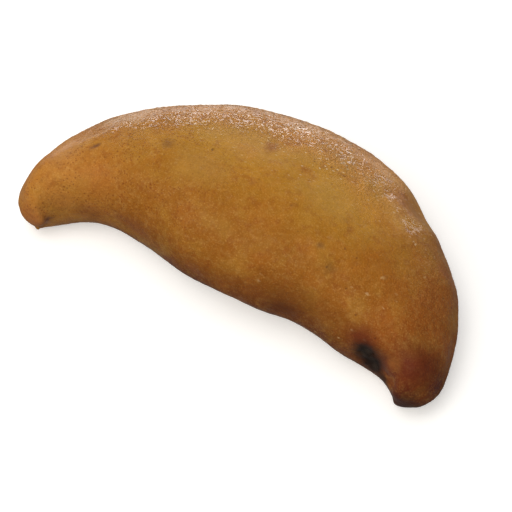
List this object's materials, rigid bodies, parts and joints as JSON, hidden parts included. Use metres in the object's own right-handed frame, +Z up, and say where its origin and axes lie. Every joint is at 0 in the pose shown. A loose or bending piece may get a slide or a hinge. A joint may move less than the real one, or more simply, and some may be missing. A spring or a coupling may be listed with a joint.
{
  "type": "empanada",
  "caption": "Fried half-moon empanada of smooth golden dough, folded thick on the straight side, with blunt drawn-out horns, lying flat.",
  "frame": {"origin": "the middle of the underside, on the surface that the empanada lies on", "axes": "+X from the left horn to the right horn, +Y from the folded side to the sealed arc, +Z up"},
  "size_m": [0.1266, 0.0624, 0.0301],
  "materials": {
    "fried_crust": "fried dough: finely pebbled, lightly oiled, golden on top and browner along the fold and on the horns"
  },
  "bodies": {
    "root": {"crust": "fried_crust"}
  },
  "joints": []
}
